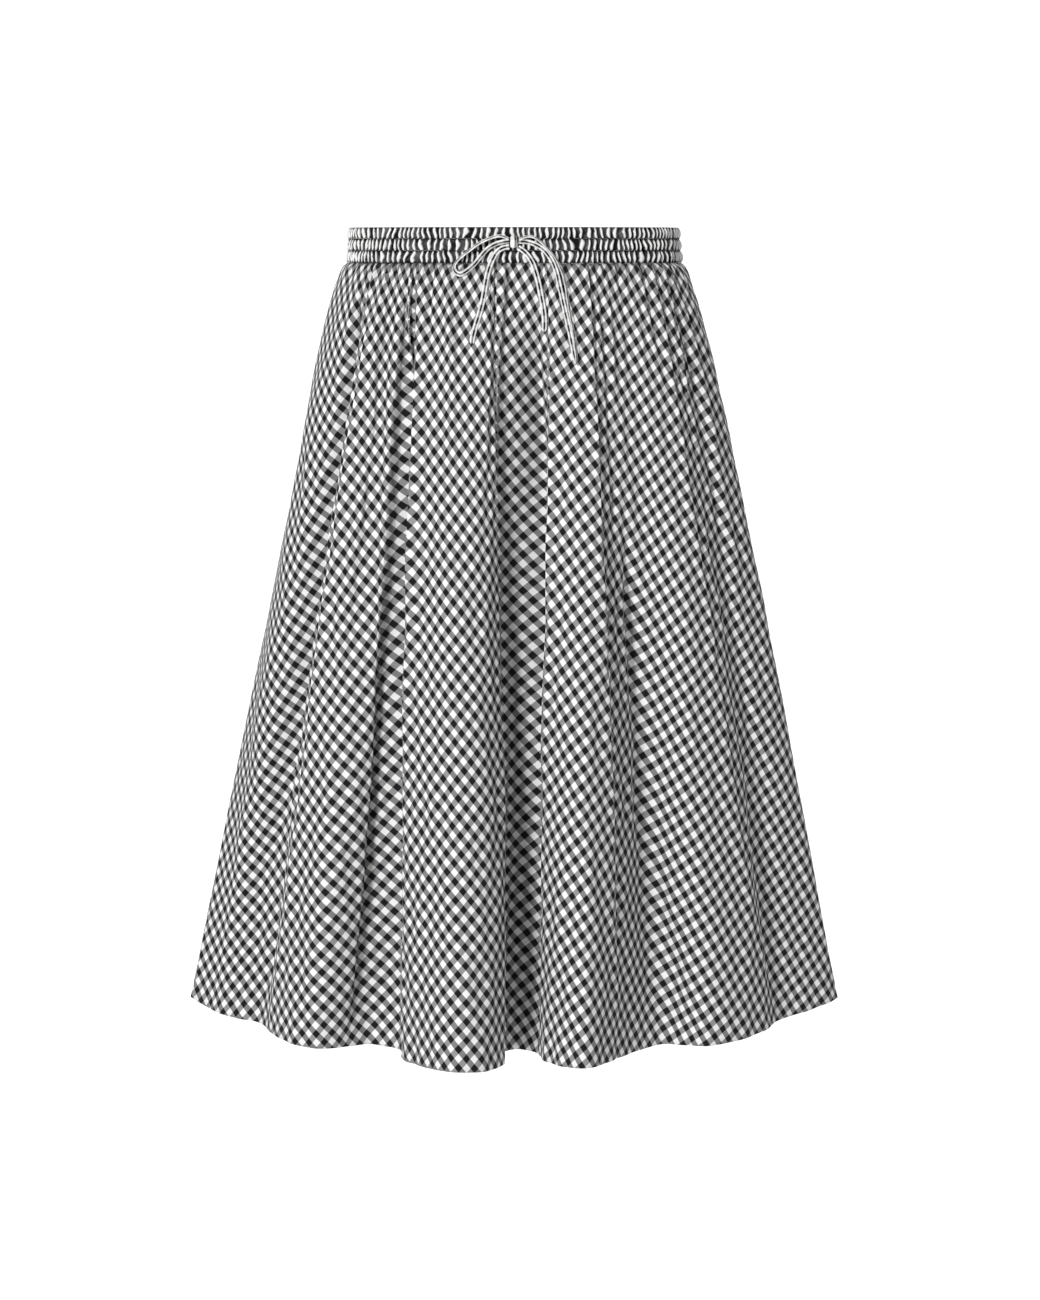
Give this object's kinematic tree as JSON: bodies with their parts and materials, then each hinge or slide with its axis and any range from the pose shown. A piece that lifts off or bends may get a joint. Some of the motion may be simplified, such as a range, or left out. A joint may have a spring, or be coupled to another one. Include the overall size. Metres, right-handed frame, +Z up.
{
  "type": "midi skirt",
  "caption": "Flared midi skirt in black and white gingham with a shirred elastic waistband and a drawstring bow, filled out as worn.",
  "frame": {"origin": "centre of the waistband, where the wearer's waist holds the skirt up", "axes": "+Z up through the waist, -Y the front with the bow, +X the side that is on the right in the picture"},
  "size_m": [0.645, 0.4357, 0.7798],
  "materials": {
    "gingham_cloth": "matt woven cotton, black and white gingham on the bias",
    "gathered_gingham": "matt woven cotton gingham, gathered on elastic",
    "gingham_tape": "narrow flat tie of the same gingham"
  },
  "bodies": {
    "root": {"waistband": "gathered_gingham", "front_panel": "gingham_cloth", "back_panel": "gingham_cloth", "drawstring_knot": "gingham_tape", "drawstring_loop_left": "gingham_tape", "drawstring_loop_right": "gingham_tape", "drawstring_tail_left": "gingham_tape", "drawstring_tail_right": "gingham_tape"}
  },
  "joints": []
}
